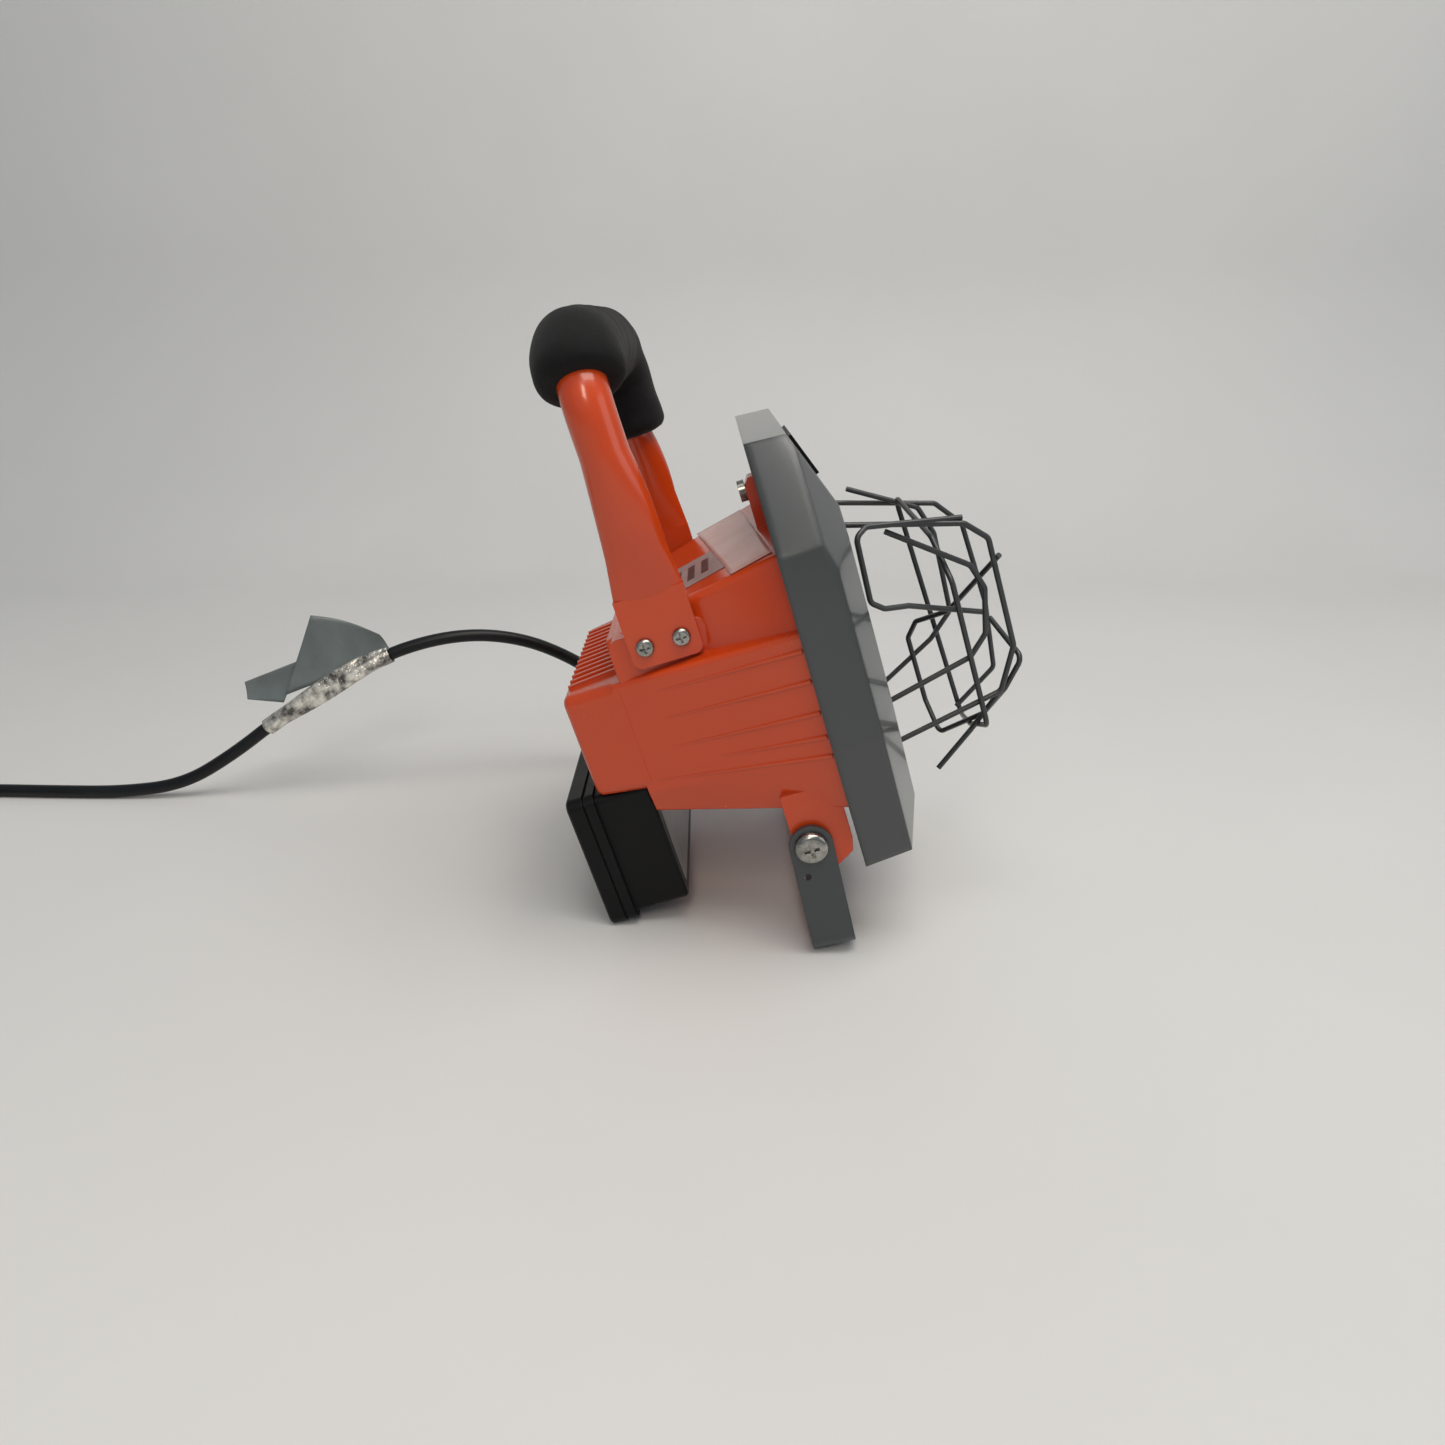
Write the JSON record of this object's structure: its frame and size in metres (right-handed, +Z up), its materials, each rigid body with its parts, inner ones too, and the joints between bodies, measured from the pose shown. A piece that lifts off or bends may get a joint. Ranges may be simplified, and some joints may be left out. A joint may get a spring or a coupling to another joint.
{
  "type": "work light",
  "caption": "Portable halogen work light: flared die-cast head with hinged glass front and wire guard, foam-gripped tube handle, strap stand, wiring box and mains cord.",
  "frame": {"origin": "centre of the base, under the middle of the light without its cord, on the floor", "axes": "-Y is the way the light shines, +Z is up, +X is the side the cord leaves from"},
  "size_m": [0.231, 0.7158, 0.2802],
  "materials": {
    "orange_enamel": "gloss baked enamel on cast aluminium",
    "grey_enamel": "gloss baked enamel on cast aluminium",
    "strap_enamel": "satin dark grey enamel on strip steel",
    "guard_wire": "dark plated wire",
    "zinc": "bright zinc plate",
    "bracket_steel": "plain steel",
    "reflector_aluminium": "hammered bright aluminium",
    "glass": "toughened flat glass",
    "quartz": "clear quartz",
    "filament": "tungsten",
    "ceramic": "unglazed steatite",
    "brass": "plain brass",
    "silicone": "silicone",
    "foam": "closed-cell foam",
    "black_plastic": "moulded black plastic",
    "black_rubber": "black rubber",
    "red_plastic": "red rocker",
    "foil": "blank metallised label",
    "dark_label": "blank dark label",
    "cord_jacket": "black cord jacket",
    "tag": "blank flag tag",
    "nylon": "nylon"
  },
  "bodies": {
    "head": {"housing": "orange_enamel", "hinge_pin": "zinc", "latch_screw": "zinc", "reflector": "reflector_aluminium", "lamp_tube": "quartz", "lamp_ends": "ceramic", "lamp_filament": "filament", "lamp_holders": "ceramic", "holder_brackets": "bracket_steel", "socket_contacts": "brass", "lead_wires": "silicone", "handle_tube": "orange_enamel", "foam_grip": "foam", "handle_screws": "zinc", "handle_nuts": "zinc", "pivot_bolts": "zinc", "pivot_washers": "nylon", "pivot_nuts": "zinc", "wiring_box": "black_plastic", "box_gasket": "black_rubber", "box_lid": "black_plastic", "lid_screws": "zinc", "switch_body": "black_plastic", "switch_pin": "zinc", "wiring_nipple": "zinc", "nipple_nuts": "zinc", "terminal_block": "ceramic", "terminal_screws": "brass", "box_label": "foil", "top_label": "dark_label", "cord_gland": "black_plastic", "gland_nut": "black_plastic", "strain_relief": "black_rubber", "cord": "cord_jacket", "cord_tail": "cord_jacket", "cord_coil": "cord_jacket", "plug_body": "cord_jacket", "plug_blades": "brass", "plug_ground": "brass", "cord_tag": "tag"},
    "front": {"front_frame": "grey_enamel", "front_glass": "glass", "glass_gasket": "silicone", "glass_clips": "bracket_steel", "clip_screws": "zinc", "wire_guard": "guard_wire", "front_badge": "dark_label"},
    "stand": {"stand_bracket": "strap_enamel"},
    "rocker": {"switch_rocker": "red_plastic"}
  },
  "joints": [
    {"name": "stand_tilt", "type": "hinge", "parent": "head", "child": "stand", "pos_m": [0, -0.00365, 0.05629], "axis": [1, 0, 0], "range_deg": [-25, 85]},
    {"name": "front_hinge", "type": "hinge", "parent": "head", "child": "front", "pos_m": [0, -0.0236, 0.04576], "axis": [1, 0, 0], "range_deg": [0, 60]},
    {"name": "switch_rock", "type": "hinge", "parent": "head", "child": "rocker", "pos_m": [0, 0.09786, 0.03738], "axis": [0, 0.2924, 0.9563], "range_deg": [-12, 0]}
  ]
}
